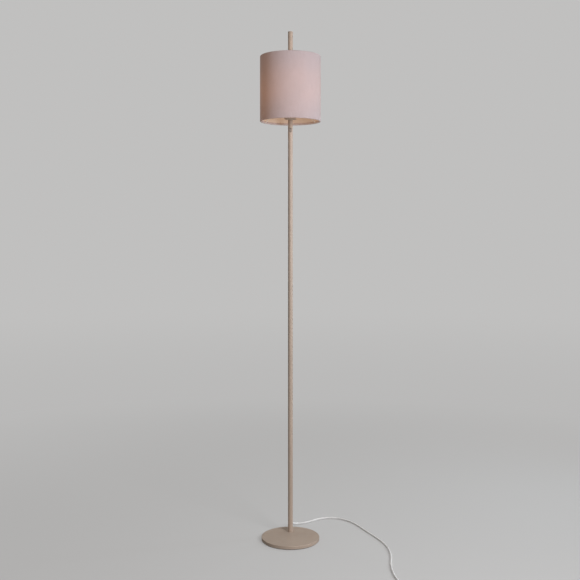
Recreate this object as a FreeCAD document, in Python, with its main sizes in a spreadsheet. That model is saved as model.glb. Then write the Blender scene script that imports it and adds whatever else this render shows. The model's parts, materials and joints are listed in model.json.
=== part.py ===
import FreeCAD, Part

import math
import os

import Sketcher

# Column floor lamp: a round base, a thin pole set behind the middle of the base, a drum shade on an
# E27 lampholder that an arm carries in front of the pole, a rocker switch in the pole and a mains cord.
# Millimetres. The origin is on the floor under the middle of the base, +Z is up, -Y is the front.

DIMENSIONS = {
    # Base
    "base_diameter": 190,
    "base_thickness": 10,
    "base_edge_radius": 1.2,
    "pad_diameter": 184,
    "pad_thickness": 2,
    "pad_hole_diameter": 24,
    # Foot of the pole: an M8 button-head screw from below, into a plug pressed in the tube
    "screw_diameter": 8,
    "screw_length": 16,
    "screw_head_diameter": 14,
    "screw_head_height": 4.4,
    "screw_socket": 5,
    "screw_socket_depth": 2.4,
    "screw_play": 0.3,
    "washer_diameter": 18,
    "washer_thickness": 1.6,
    "counterbore_diameter": 22,
    "pole_seat_depth": 1.5,
    "foot_plug_length": 11,
    # Pole: three lengths of tube over two joiner sleeves
    "pole_offset": 45,
    "pole_diameter": 16,
    "pole_bore": 13.6,
    "pole_top": 1682,
    "lower_joint": 570,
    "upper_joint": 1130,
    "tube_chamfer": 0.3,
    "joiner_length": 50,
    "joiner_bore": 9.6,
    "cap_thickness": 2,
    "cap_plug_length": 8,
    # Mains cord and its strain relief
    "cord_diameter": 6.4,
    "cord_exit_height": 26,
    "cord_hole_diameter": 8,
    "relief_length": 24,
    "relief_rib_pitch": 3.6,
    "relief_rib_gap": 1.3,
    "relief_rib_depth": 0.55,
    "relief_flange_radius": 6,
    "relief_root_radius": 5.1,
    "relief_tip_radius": 4.1,
    "cable_end_below_switch": 36,
    "core_diameter": 2.2,
    # Rocker switch in the front of the pole
    "switch_height": 1354,
    "bezel_width": 8.4,
    "bezel_height": 13.6,
    "bezel_stand": 0.8,
    "switch_body_width": 7.3,
    "switch_body_height": 12.6,
    "switch_body_depth": 9.4,
    "rocker_width": 5.8,
    "rocker_radius": 5.6,
    "rocker_pivot_depth": 3.4,
    "rocker_pin_diameter": 1.6,
    "rocker_tilt": 11,
    "rocker_gap": 0.15,
    "terminal_length": 3.6,
    "terminal_offset": 1.2,
    # Lampholder, its cup and the arm that carries it
    "cup_bottom": 1385,
    "cup_diameter": 40,
    "cup_height": 30,
    "cup_wall": 1.2,
    "cup_edge_radius": 1.6,
    "arm_diameter": 10,
    "arm_bore": 7,
    "arm_height": 1400,
    "holder_flange_diameter": 46,
    "holder_flange_thickness": 2.5,
    "skirt_diameter": 39.5,
    "skirt_height": 22.5,
    "socket_diameter": 28.8,
    "socket_well_diameter": 18,
    "socket_floor": 3,
    "holder_depth": 19,
    "well_depth": 11,
    "holder_screw_drop": 2.6,
    "holder_screw_diameter": 2.5,
    "holder_screw_reach": 4.6,
    "terminal_block": 5,
    "terminal_block_height": 8,
    "terminal_block_offset": 7.5,
    "contact_width": 5,
    "shell_wall": 0.5,
    "shell_height": 26,
    "ring_nut_diameter": 52,
    "ring_nut_height": 9,
    "running_gap": 0.1,
    # Drum shade
    "shade_bottom": 1376.7,
    "shade_diameter": 200,
    "shade_height": 215,
    "cover_thickness": 0.6,
    "liner_thickness": 0.6,
    "hem_start": 3.4,
    "hem_width": 5.5,
    "frame_wire": 3,
    "fitter_bore": 42,
    "fitter_diameter": 56,
    "fitter_thickness": 1.6,
    "arm_bend_radius": 50,
    "notch_width": 5,
    "notch_depth": 7.7,
    "notch_inset": 9,
    "notch_rise": 1.2,
    "liner_inset": 2,
    # Bulb, 108 mm long and 60 mm across
    "bulb_bottom": 1410,
    "bulb_length": 108,
    "bulb_diameter": 60,
    "bulb_cap_diameter": 26.4,
    "bulb_cap_top": 25,
    "bulb_housing_top": 66,
    "globe_wall": 1.2,
    # Coil of spare cord and the plug
    "coil_radius": 43.5,
    "coil_pitch": 7,
    "tie_width": 7,
    "tie_thickness": 0.9,
    "tie_slack": 0.3,
    "plug_thickness": 13.7,
    "plug_width": 35.3,
    "plug_length": 37,
    "plug_sleeve_length": 20,
    "plug_pin_diameter": 4,
    "plug_pin_length": 19,
    "plug_pin_spacing": 18.2,
}

# The cord lies a hair above the floor, and the coil on its tie.
FLOOR_CLEARANCE = 0.1
LAID = DIMENSIONS["cord_diameter"] / 2 + FLOOR_CLEARANCE

# Route of the cord from the tip of the strain relief to the coil: corners of its runs.
CORD_ROUTE = [
    (0, 77, 26),
    (0, 95, 26),
    (3, 112, 20),
    (12, 130, 10.8),
    (30, 152, 5.2),
    (50, 166, LAID),
    (74, 184, LAID),
    (100, 208, LAID),
    (133, 219, LAID),
    (166, 213.5, LAID),
    (198, 190.5, LAID),
    (225, 150, LAID),
    (250, 88, LAID),
    (284, 14, LAID),
    (311, -63, LAID),
    (316, -147, LAID),
    (303, -232, LAID),
    (304, -306, 3.6),
]

# Coil of spare cord: where it lies, how it climbs to its second layer, the straight run into it and its tie.
COIL_CENTRE = (269.5, -421)
COIL_FLOOR = 4.4
COIL_TURNS = 5.25
COIL_APPROACH = 50
HALF_CLIMB = 0.25
TIE_ANGLE = 215

# The plug beside the coil: how far it lies from the coil's middle and from the last turn, and the last
# corners of the cord, counted from the point where it enters the plug.
PLUG_FROM_COIL = 72
PLUG_FROM_TURN = 4.5
TAIL_START = 16
TAIL_CORNERS = [(34, -2, 2), (14, 0, 0), (0, 0, 0)]

BULB_PIECES = ("bulb_contact", "bulb_insulator", "bulb_cap", "bulb_neck", "bulb_light_board", "bulb_globe")

# Length of the cuts that pass through a sub-part from side to side.
RIGHT_THROUGH = "60"

doc = FreeCAD.newDocument("ColumnFloorLamp")
sizes = doc.addObject("Spreadsheet::Sheet", "lamp")
for row, (alias, dimension) in enumerate(DIMENSIONS.items(), start=1):
    sizes.set(f"A{row}", str(dimension))
    sizes.setAlias(f"A{row}", alias)
doc.recompute()

parts = []
cuts = []


def vector(x, y, z=0.0):
    return FreeCAD.Vector(x, y, z)


def size(formula):
    """The number that a formula of the sheet's cells gives."""
    return float(sizes.evalExpression(formula.replace("lamp.", "")))


def body(label, x="0", y="0", z="0"):
    """A sub-part whose own origin stands at the formulas x, y, z."""
    made = doc.addObject("PartDesign::Body", label)
    made.Label = label
    for axis, formula in (("x", x), ("y", y), ("z", z)):
        made.setExpression(f"Placement.Base.{axis}", formula)
    parts.append(made)
    return made


def sketch_on(owner, role, offset=None):
    """A sketch on one of the body's origin planes, moved along its normal by the formula offset."""
    sketch = owner.newObject("Sketcher::SketchObject", owner.Label + "_sketch")
    plane = next(item for item in owner.Origin.OriginFeatures if item.Role == role)
    sketch.AttachmentSupport = [(plane, "")]
    sketch.MapMode = "FlatFace"
    if offset:
        sketch.setExpression("AttachmentOffset.Base.z", offset)
    return sketch


def constrain(sketch, kind, places, formula):
    index = sketch.addConstraint(Sketcher.Constraint(kind, *places, size(formula)))
    sketch.setExpression(f"Constraints[{index}]", formula)


def pin(sketch, geometry, end, corner):
    """Hold one end of a line or an arc at a corner, a pair of formulas."""
    constrain(sketch, "DistanceX", (-1, 1, geometry, end), corner[0])
    constrain(sketch, "DistanceY", (-1, 1, geometry, end), corner[1])


def arc_between(start, end, radius, bulges_left):
    """The smaller arc from start to end on a circle of the radius, with the way its ends lie."""
    chord = end - start
    normal = vector(-chord.y, chord.x) / chord.Length
    rise = math.sqrt(max(radius**2 - (chord.Length / 2) ** 2, 0.0))
    centre = (start + end) / 2 - normal * (rise if bulges_left else -rise)
    first, last = (end, start) if bulges_left else (start, end)
    angles = [math.atan2(point.y - centre.y, point.x - centre.x) for point in (first, last)]
    circle = Part.Circle(centre, vector(0, 0, 1), radius)
    return Part.ArcOfCircle(circle, *angles)


def outline(sketch, corners, arcs=None):
    """Close a profile through the corners. arcs gives a side's radius formula and its bulge."""
    arcs = arcs or {}
    points = [vector(size(x), size(y)) for x, y in corners]
    sides = []
    for side, start in enumerate(points):
        end = points[(side + 1) % len(points)]
        if side in arcs:
            radius, bulge = arcs[side]
            geometry = sketch.addGeometry(arc_between(start, end, size(radius), bulge == "left"))
            sides.append((geometry, (2, 1) if bulge == "left" else (1, 2)))
            constrain(sketch, "Radius", (geometry,), radius)
        else:
            geometry = sketch.addGeometry(Part.LineSegment(start, end))
            sides.append((geometry, (1, 2)))
    for side, (geometry, (start, end)) in enumerate(sides):
        following, (next_start, _) = sides[(side + 1) % len(sides)]
        sketch.addConstraint(Sketcher.Constraint("Coincident", geometry, end, following, next_start))
        pin(sketch, geometry, start, corners[side])


def circle(sketch, radius, centre=("0", "0")):
    middle = vector(size(centre[0]), size(centre[1]))
    geometry = sketch.addGeometry(Part.Circle(middle, vector(0, 0, 1), size(radius)))
    constrain(sketch, "Radius", (geometry,), radius)
    pin(sketch, geometry, 3, centre)


def rectangle(sketch, width, height, centre=("0", "0"), corner=None):
    """A rectangle, with rounded corners where the formula corner gives their radius."""
    x, y = centre
    left, right = f"{x} - {width} / 2", f"{x} + {width} / 2"
    low, high = f"{y} - {height} / 2", f"{y} + {height} / 2"
    if corner is None:
        outline(sketch, [(left, low), (right, low), (right, high), (left, high)])
        return
    outline(
        sketch,
        [
            (f"{left} + {corner}", low),
            (f"{right} - {corner}", low),
            (right, f"{low} + {corner}"),
            (right, f"{high} - {corner}"),
            (f"{right} - {corner}", high),
            (f"{left} + {corner}", high),
            (left, f"{high} - {corner}"),
            (left, f"{low} + {corner}"),
        ],
        {side: (corner, "right") for side in (1, 3, 5, 7)},
    )


def spindle_along(sketch, start, end):
    """A construction line for the profile to turn about."""
    ends = [vector(size(x), size(y)) for x, y in (start, end)]
    line = sketch.addGeometry(Part.LineSegment(*ends), True)
    pin(sketch, line, 1, start)
    pin(sketch, line, 2, end)


def feature(owner, kind, sketch, **settings):
    """A PartDesign feature on a sketch, with its Length given as a formula."""
    made = owner.newObject("PartDesign::" + kind, owner.Label + "_" + kind.lower())
    made.Profile = sketch
    for name, value in settings.items():
        if name == "Length":
            made.setExpression(name, value)
        else:
            setattr(made, name, value)
    if kind in ("Pocket", "Groove"):
        cuts.append(made)
    return made


def turned(owner, corners, arcs=None, kind="Revolution", role="XZ_Plane", axis="V_Axis"):
    """A profile turned about the body's upright axis, or about Y on the YZ plane with axis H_Axis."""
    sketch = sketch_on(owner, role)
    outline(sketch, corners, arcs)
    return feature(owner, kind, sketch, ReferenceAxis=(sketch, [axis]), Angle=360)


def round_edges(owner, feature_made, radius, chosen):
    """Fillet the edges of a feature that the test picks."""
    doc.recompute()
    names = [f"Edge{n}" for n, edge in enumerate(feature_made.Shape.Edges, start=1) if chosen(edge)]
    fillet = owner.newObject("PartDesign::Fillet", owner.Label + "_fillet")
    fillet.Base = (feature_made, names)
    fillet.setExpression("Radius", radius)
    return fillet


def pattern(owner, kind, original, axis_or_plane, count=None):
    """Repeat a feature round an axis, or mirror it in a plane, and make that the body's tip."""
    made = owner.newObject("PartDesign::" + kind, owner.Label + "_" + kind.lower())
    made.Originals = [original]
    reference = next(item for item in owner.Origin.OriginFeatures if item.Role == axis_or_plane)
    if kind == "PolarPattern":
        made.Axis = (reference, [""])
        made.Angle = 360
        made.Occurrences = count
    else:
        made.MirrorPlane = (reference, [""])
    owner.Tip = made


# ---------------------------------------------------------------- base


def base_plate():
    """Steel disc with a rounded rim, and a stepped hole behind the middle for the screw and the pole."""
    plate = body("base_plate", z="lamp.pad_thickness")
    rim, top, edge = "lamp.base_diameter / 2", "lamp.base_thickness", "lamp.base_edge_radius"
    turned(
        plate,
        [
            ("0", "0"),
            (f"{rim} - 0.6", "0"),
            (rim, "0.6"),
            (rim, f"{top} - {edge}"),
            (f"{rim} - {edge}", top),
            ("0", top),
        ],
        {3: (edge, "right")},
    )
    sketch = sketch_on(plate, "YZ_Plane")
    axis = "lamp.pole_offset"
    head_seat, pole_seat = "lamp.washer_thickness + lamp.screw_head_height", f"{top} - lamp.pole_seat_depth"
    hole = f"{axis} + lamp.screw_diameter / 2 + lamp.screw_play"
    outline(
        sketch,
        [
            (axis, "-1"),
            (f"{axis} + lamp.counterbore_diameter / 2", "-1"),
            (f"{axis} + lamp.counterbore_diameter / 2", head_seat),
            (hole, head_seat),
            (hole, pole_seat),
            (f"{axis} + lamp.pole_diameter / 2 + lamp.running_gap", pole_seat),
            (f"{axis} + lamp.pole_diameter / 2 + lamp.running_gap", f"{top} + 1"),
            (axis, f"{top} + 1"),
        ],
    )
    spindle_along(sketch, (axis, "-2"), (axis, "14"))
    feature(plate, "Groove", sketch, ReferenceAxis=(sketch, ["Axis0"]), Angle=360)


def base_pad():
    """Soft pad under the plate, with a hole for the screw's head."""
    pad = body("base_pad")
    sketch = sketch_on(pad, "XY_Plane")
    circle(sketch, "lamp.pad_diameter / 2")
    circle(sketch, "lamp.pad_hole_diameter / 2", ("0", "lamp.pole_offset"))
    feature(pad, "Pad", sketch, Length="lamp.pad_thickness")


def base_screw():
    """Button-head screw, head down, with a hexagon socket."""
    screw = body("base_screw", y="lamp.pole_offset", z="lamp.pad_thickness")
    head, height = "lamp.screw_head_diameter / 2", "lamp.screw_head_height"
    turned(
        screw,
        [
            ("0", "0"),
            (f"{head} * 0.55", "0"),
            (head, f"{height} * 0.75"),
            (head, height),
            ("lamp.screw_diameter / 2", height),
            ("lamp.screw_diameter / 2", f"{height} + lamp.screw_length - 0.8"),
            ("lamp.screw_diameter / 2 - 0.8", f"{height} + lamp.screw_length"),
            ("0", f"{height} + lamp.screw_length"),
        ],
        {1: (head, "right")},
    )
    doc.recompute()
    socket = sketch_on(screw, "XY_Plane")
    across = [math.radians(30 + 60 * corner) for corner in range(6)]
    reach = "lamp.screw_socket / sqrt(3)"
    outline(socket, [(f"{reach} * {math.cos(a):.6f}", f"{reach} * {math.sin(a):.6f}") for a in across])
    feature(screw, "Pocket", socket, Length="lamp.screw_socket_depth", Reversed=True)


def base_washer():
    washer = body("base_washer", y="lamp.pole_offset", z="lamp.pad_thickness + lamp.screw_head_height")
    sketch = sketch_on(washer, "XY_Plane")
    circle(sketch, "lamp.washer_diameter / 2")
    circle(sketch, "lamp.screw_diameter / 2 + lamp.screw_play")
    feature(washer, "Pad", sketch, Length="lamp.washer_thickness")


# ---------------------------------------------------------------- pole

POLE_FOOT = "lamp.pad_thickness + lamp.base_thickness - lamp.pole_seat_depth"


def tube(label, low, high):
    """A length of the pole, with its sharp outer ends broken."""
    made = body(label, y="lamp.pole_offset", z=low)
    inner, outer, edge = "lamp.pole_bore / 2", "lamp.pole_diameter / 2", "lamp.tube_chamfer"
    length = f"{high} - ({low})"
    turned(
        made,
        [
            (inner, "0"),
            (f"{outer} - {edge}", "0"),
            (outer, edge),
            (outer, f"{length} - {edge}"),
            (f"{outer} - {edge}", length),
            (inner, length),
        ],
    )
    return made


def pole_lower():
    """Bottom tube, with the hole in its back that the cord leaves by."""
    made = tube("pole_lower", POLE_FOOT, "lamp.lower_joint")
    sketch = sketch_on(made, "XZ_Plane")
    circle(sketch, "lamp.cord_hole_diameter / 2", ("0", f"lamp.cord_exit_height - ({POLE_FOOT})"))
    feature(made, "Pocket", sketch, Type="ThroughAll")


def pole_upper():
    """Top tube, with the switch's slot and the arm's hole in its front."""
    made = tube("pole_upper", "lamp.upper_joint", "lamp.pole_top")
    slot = sketch_on(made, "XZ_Plane")
    rectangle(
        slot,
        "(lamp.switch_body_width + 0.1)",
        "(lamp.switch_body_height + 0.1)",
        ("0", "lamp.switch_height - lamp.upper_joint"),
    )
    feature(made, "Pocket", slot, Type="ThroughAll", Reversed=True)
    hole = sketch_on(made, "XZ_Plane")
    circle(hole, "lamp.arm_diameter / 2", ("0", "lamp.arm_height - lamp.upper_joint"))
    feature(made, "Pocket", hole, Type="ThroughAll", Reversed=True)


def foot_plug():
    """Threaded steel plug pressed into the bottom of the pole."""
    plug = body("foot_plug", y="lamp.pole_offset", z=POLE_FOOT)
    bore, outer, length = "lamp.screw_diameter / 2 + 0.05", "lamp.pole_bore / 2", "lamp.foot_plug_length"
    turned(
        plug,
        [
            (f"{bore} + 0.6", "0"),
            (outer, "0"),
            (outer, f"{length} - 1"),
            (f"{outer} - 1", length),
            (bore, length),
            (bore, "0.6"),
        ],
    )


def joiner(label, joint):
    """Sleeve inside the pole that joins two tubes, open for the cable."""
    sleeve = body(label, y="lamp.pole_offset", z=f"{joint} - lamp.joiner_length / 2")
    bore, outer, length = "lamp.joiner_bore / 2", "lamp.pole_bore / 2 - 0.05", "lamp.joiner_length"
    turned(
        sleeve,
        [
            (bore, "0"),
            (f"{outer} - 1", "0"),
            (outer, "2"),
            (outer, f"{length} - 2"),
            (f"{outer} - 1", length),
            (bore, length),
        ],
    )


def pole_cap():
    """Flat cap that closes the top of the pole, with a plug inside the tube."""
    cap = body("pole_cap", y="lamp.pole_offset", z="lamp.pole_top")
    outer, plug, deep = "lamp.pole_diameter / 2", "lamp.pole_bore / 2 - 0.05", "lamp.cap_plug_length"
    turned(
        cap,
        [
            ("0", f"0 - {deep}"),
            (f"{plug} - 1", f"0 - {deep}"),
            (plug, f"1 - {deep}"),
            (plug, "0"),
            (outer, "0"),
            (outer, "lamp.cap_thickness - 0.7"),
            (f"{outer} - 0.7", "lamp.cap_thickness"),
            ("0", "lamp.cap_thickness"),
        ],
        {5: ("0.7", "right")},
    )


# ---------------------------------------------------------------- cable


def rounded(points, radius=None):
    """A path of straight runs and tangent arcs, which without a radius are as large as the runs allow."""
    points = [FreeCAD.Vector(*point) for point in points]
    edges = []
    radii = []
    reached = points[0]
    for before, corner, after in zip(points, points[1:], points[2:]):
        arriving, leaving = (corner - before), (after - corner)
        shorter = min(arriving.Length, leaving.Length)
        arriving.normalize()
        leaving.normalize()
        half_turn = arriving.getAngle(leaving) / 2
        bend = radius or 0.45 * shorter / math.tan(half_turn)
        cut_back = bend * math.tan(half_turn)
        start, end = corner - arriving * cut_back, corner + leaving * cut_back
        inward = leaving - arriving
        inward.normalize()
        middle = corner + inward * (bend / math.cos(half_turn) - bend)
        edges.append(Part.LineSegment(reached, start).toShape())
        edges.append(Part.Arc(start, middle, end).toShape())
        radii.append(bend)
        reached = end
    edges.append(Part.LineSegment(reached, points[-1]).toShape())
    return Part.Wire(edges), radii


def round_tube(label, path, diameter):
    """A round solid along a path, kept as a sub-part, with its volume checked against its length."""
    first = path.Edges[0]
    start, heading = first.valueAt(first.FirstParameter), first.tangentAt(first.FirstParameter)
    section = Part.Wire([Part.Circle(start, heading, diameter / 2).toShape()])
    made = doc.addObject("Part::Feature", label)
    made.Label = label
    made.Shape = path.makePipeShell([section], True, False)
    made.Placement = FreeCAD.Placement()
    share = made.Shape.Volume / (math.pi * diameter**2 / 4 * path.Length)
    print(f"{label}: length {path.Length:.0f} mm, volume over section x length {share:.4f}")
    parts.append(made)


def free_cord():
    """The stretch from the strain relief to the coil, in its loose curves on the floor."""
    start = coil_lead()
    approach = start - coil_heading(0) * COIL_APPROACH
    path, radii = rounded(CORD_ROUTE + [approach, start])
    round_tube("mains_cord", path, size("cord_diameter"))
    print("mains_cord radii:", ", ".join(f"{radius:.0f}" for radius in radii))


def inner_cable():
    """The same cable inside the strain relief and up the pole, to just under the switch."""
    pole, exit_height = size("pole_offset"), size("cord_exit_height")
    end_height = size("switch_height - cable_end_below_switch")
    points = [CORD_ROUTE[0], (0, pole, exit_height), (0, pole, end_height)]
    path, _ = rounded(points, size("cord_diameter"))
    round_tube("inner_cable", path, size("cord_diameter"))


def strain_relief():
    """Moulded relief in the back of the pole: neck in the hole, saddle flange, tapered and ribbed boot."""
    relief = body("cord_strain_relief", y="lamp.pole_offset", z="lamp.cord_exit_height")
    face = "lamp.pole_diameter / 2"
    tip = f"{face} + lamp.relief_length"
    root, end = "lamp.relief_root_radius", "lamp.relief_tip_radius"
    flange, flange_end = "lamp.relief_flange_radius", f"{face} + 1.8"
    corners = [("5.5", "0"), ("5.5", flange), (flange_end, flange), (flange_end, root)]
    ribs = 5
    for rib in range(ribs):
        along = f"{face} + 4 + {rib} * lamp.relief_rib_pitch"
        radius = f"({root} + ({end} - {root}) * {(rib + 1) / (ribs + 1):.4f})"
        groove, past = f"{radius} - lamp.relief_rib_depth", f"{along} + lamp.relief_rib_gap"
        corners += [(along, radius), (along, groove), (past, groove), (past, radius)]
    corners += [(tip, end), (tip, "0")]
    turned(relief, corners, role="YZ_Plane", axis="H_Axis")
    saddle = sketch_on(relief, "XY_Plane")
    circle(saddle, f"{face} + 0.02")
    feature(relief, "Pocket", saddle, SideType="Symmetric", Length=RIGHT_THROUGH)
    neck = [("5.9", "0"), ("5.9", "lamp.cord_hole_diameter / 2 - 0.05")]
    neck += [(f"{face} + 0.4", "lamp.cord_hole_diameter / 2 - 0.05"), (f"{face} + 0.4", "0")]
    turned(relief, neck, role="YZ_Plane", axis="H_Axis")
    bore = "lamp.cord_diameter / 2 + 0.03"
    turned(
        relief,
        [("5", "0"), ("5", bore), (f"{tip} + 1", bore), (f"{tip} + 1", "0")],
        kind="Groove",
        role="YZ_Plane",
        axis="H_Axis",
    )


def wires():
    """Cores from the end of the cable to the switch and, past it and on from it, to the lampholder."""
    pole, arm, switch = size("pole_offset"), size("arm_height"), size("switch_height")
    cable_end = size("switch_height - cable_end_below_switch")
    behind = pole + 3.7
    tab, above_switch = pole + size("switch_body_depth - pole_diameter / 2 - bezel_stand") + 2.2, pole + 1.2
    terminal = size("cup_bottom + cup_wall") + 3.6
    bend = 2.4

    def to_holder(side):
        """Along the arm, down beside the lampholder's body and under it to the terminal."""
        return [
            (side * 1.5, above_switch, arm + 0.2),
            (side * 1.5, 17.2, arm + 0.2),
            (side * 2.2, 17.2, terminal),
            (side * 7.5, 9, terminal),
            (side * 7.5, 2.5, terminal),
        ]

    neutral = [
        (1.5, pole, cable_end),
        (1.5, pole, cable_end + 9),
        (3, behind, cable_end + 20),
        (3, behind, switch + 18),
        (1.5, above_switch, switch + 29),
    ]
    live = [
        (-1.5, pole, cable_end),
        (-1.5, pole, cable_end + 10),
        (-1.2, tab, switch - 16),
        (-1.2, tab, switch - 4.6),
    ]
    switched = [
        (-1.2, tab, switch + 4.6),
        (-1.2, tab, switch + 16),
        (-1.5, above_switch, switch + 29),
    ]
    neutral += to_holder(1)
    switched += to_holder(-1)
    for label, points in (("neutral_wire", neutral), ("live_wire", live), ("switched_wire", switched)):
        path, _ = rounded(points, bend)
        round_tube(label, path, size("core_diameter"))


# ---------------------------------------------------------------- coil and plug


def coil_point(turns):
    """Centre of the cord after so many turns: steadily in and out again, climbing at the middle."""
    middle = COIL_TURNS / 2
    pitch = size("coil_pitch")
    radius = size("coil_radius") - pitch * (middle - abs(turns - middle))
    climbed = min(max((turns - middle) / (2 * HALF_CLIMB) + 0.5, 0.0), 1.0)
    height = COIL_FLOOR + pitch * climbed**2 * (3 - 2 * climbed)
    angle = -2 * math.pi * turns
    across, along = radius * math.cos(angle), radius * math.sin(angle)
    return vector(COIL_CENTRE[0] + across, COIL_CENTRE[1] + along, height)


def coil_heading(turns):
    """Direction of the cord there, from the points on either side."""
    step = 0.004
    low, high = max(turns - step, 0.0), min(turns + step, COIL_TURNS)
    heading = coil_point(high) - coil_point(low)
    return heading.normalize()


def coil_lead():
    """Where the straight first end of the coil begins."""
    return coil_point(0) - coil_heading(0) * size("cord_diameter")


def coil_tail():
    """Where the straight last end of the coil stops."""
    return coil_point(COIL_TURNS) + coil_heading(COIL_TURNS) * size("cord_diameter")


def arc_along(start, heading, end):
    """The arc that leaves start along heading and ends at end."""
    chord = end - start
    half_turn = heading.getAngle(chord)
    across = heading - chord * (heading.dot(chord) / chord.Length**2)
    across.normalize()
    middle = (start + end) / 2 + across * (chord.Length / 2 * math.tan(half_turn / 2))
    return Part.Arc(start, middle, end).toShape()


def biarc(start, heading, end, end_heading):
    """Two tangent arcs that join two points and their directions."""
    chord = end - start
    both = heading + end_heading
    square = 2 * (1 - heading.dot(end_heading))
    reach = (-chord.dot(both) + math.sqrt(chord.dot(both) ** 2 + square * chord.dot(chord))) / square
    joint = (start + end + (heading - end_heading) * reach) / 2
    first = arc_along(start, heading, joint)
    return [first, arc_along(end, end_heading * -1, joint)]


def cord_coil():
    """The spare cord, wound into a neat flat coil of two layers."""
    quarters = int(COIL_TURNS * 4)
    marks = [quarter / 4 for quarter in range(quarters + 1)]
    edges = [Part.LineSegment(coil_lead(), coil_point(0)).toShape()]
    for low, high in zip(marks, marks[1:]):
        edges += biarc(coil_point(low), coil_heading(low), coil_point(high), coil_heading(high))
    edges.append(Part.LineSegment(coil_point(COIL_TURNS), coil_tail()).toShape())
    path = Part.Wire(edges)
    round_tube("cord_coil", path, size("cord_diameter"))
    report_coil_gap(path)


def report_coil_gap(path):
    """Least gap of the coil's tube to itself, measured on points along its centre line."""
    step = 2.0
    points = path.discretize(Distance=step)
    apart = int(3 * size("cord_diameter") / step)
    least = min(
        points[i].distanceToPoint(points[j])
        for i in range(len(points))
        for j in range(i + apart, len(points))
    )
    print(f"cord_coil: least gap to itself {least - size('cord_diameter'):.2f} mm")


def cord_tail():
    """From the coil down to the plug beside it, square to both."""
    start, heading = coil_tail(), coil_heading(COIL_TURNS)
    plug_height = size("plug_thickness") / 2 + FLOOR_CLEARANCE
    end = vector(COIL_CENTRE[0] - PLUG_FROM_COIL, start.y + PLUG_FROM_TURN, plug_height)
    points = [start, start + heading * TAIL_START, *(end + vector(*corner) for corner in TAIL_CORNERS)]
    path, radii = rounded(points)
    round_tube("cord_tail", path, size("cord_diameter"))
    print("cord_tail radii:", ", ".join(f"{radius:.0f}" for radius in radii))
    return end


def cord_tie():
    """Strap round the bundle of turns, just as wide as the turns that pass through it."""
    tie = body("cord_tie", x=str(COIL_CENTRE[0]), y=str(COIL_CENTRE[1]))
    tie.Placement = FreeCAD.Placement(tie.Placement.Base, FreeCAD.Rotation(vector(0, 0, 1), TIE_ANGLE))
    first = 1 - TIE_ANGLE / 360
    passing = [coil_point(first + turn) for turn in range(int(COIL_TURNS - first) + 1)]
    centre = vector(*COIL_CENTRE)
    reaches = [vector(point.x, point.y).distanceToPoint(centre) for point in passing]
    strap, cord = "lamp.tie_thickness", "lamp.cord_diameter"
    width = f"({max(reaches) - min(reaches):.3f} + {cord} + lamp.tie_slack)"
    height = f"(lamp.coil_pitch + {cord} + lamp.tie_slack)"
    place = (f"{(max(reaches) + min(reaches)) / 2:.3f}", f"{COIL_FLOOR} + lamp.coil_pitch / 2")
    sketch = sketch_on(tie, "XZ_Plane")
    outer = (f"({width} + 2 * {strap})", f"({height} + 2 * {strap})")
    rectangle(sketch, *outer, place, f"({cord} / 2 + {strap})")
    rectangle(sketch, width, height, place, f"({cord} / 2)")
    feature(tie, "Pad", sketch, SideType="Symmetric", Length="lamp.tie_width")


def plug(end):
    """Flat two-pin plug on the end of the cord, lying on the floor."""
    place = (f"{end.x:.3f}", f"{end.y:.3f}", f"lamp.plug_thickness / 2 + {FLOOR_CLEARANCE}")
    case = body("plug_body", *place)
    case.Placement = FreeCAD.Placement(case.Placement.Base, FreeCAD.Rotation(vector(0, 0, 1), 180))
    sleeve, length, half = "lamp.plug_sleeve_length", "lamp.plug_length", "lamp.plug_width / 2"
    face = f"{sleeve} + {length}"
    shoulder = f"{sleeve} + {length} * 0.55"
    sketch = sketch_on(case, "XY_Plane")
    outline(
        sketch,
        [
            (f"{sleeve} - 2", "-6.5"),
            (f"{sleeve} + 9", "-9.5"),
            (shoulder, f"0 - ({half})"),
            (f"{face} - 4", f"0 - ({half})"),
            (face, "-14"),
            (face, "14"),
            (f"{face} - 4", half),
            (shoulder, half),
            (f"{sleeve} + 9", "9.5"),
            (f"{sleeve} - 2", "6.5"),
        ],
        {1: ("26", "left"), 3: ("5.6", "right"), 5: ("5.6", "right"), 7: ("26", "left")},
    )
    pad = feature(case, "Pad", sketch, SideType="Symmetric", Length="lamp.plug_thickness")
    high = size("plug_thickness / 2")
    face_at = size("plug_sleeve_length + plug_length")
    round_edges(
        case,
        pad,
        "2.6",
        lambda edge: on_top_or_bottom(edge, high) and edge.BoundBox.XMax < face_at - 0.1,
    )
    turned(
        case,
        [
            ("0", "0"),
            ("0", "lamp.cord_diameter / 2 + 0.8"),
            (f"{sleeve} - 4", "5.2"),
            (f"{sleeve} + 4", "5.8"),
            (f"{sleeve} + 4", "0"),
        ],
        role="XY_Plane",
        axis="H_Axis",
    )
    pins = body("plug_pins", *place)
    pins.AllowCompound = True
    pins.Placement = case.Placement
    across, radius = "lamp.plug_pin_spacing / 2", "lamp.plug_pin_diameter / 2"
    reach = f"{face} + lamp.plug_pin_length"
    sketch = sketch_on(pins, "XY_Plane")
    outline(
        sketch,
        [
            (face, across),
            (reach, across),
            (reach, f"{across} + {radius} - 0.9"),
            (f"{reach} - 0.9", f"{across} + {radius}"),
            (face, f"{across} + {radius}"),
        ],
    )
    spindle_along(sketch, ("0", across), (reach, across))
    turned_pin = feature(pins, "Revolution", sketch, ReferenceAxis=(sketch, ["Axis0"]), Angle=360)
    pattern(pins, "Mirrored", turned_pin, "XZ_Plane")


def on_top_or_bottom(edge, height):
    box = edge.BoundBox
    return abs(abs(box.ZMin) - height) < 1e-4 and box.ZLength < 1e-4


# ---------------------------------------------------------------- switch


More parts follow.
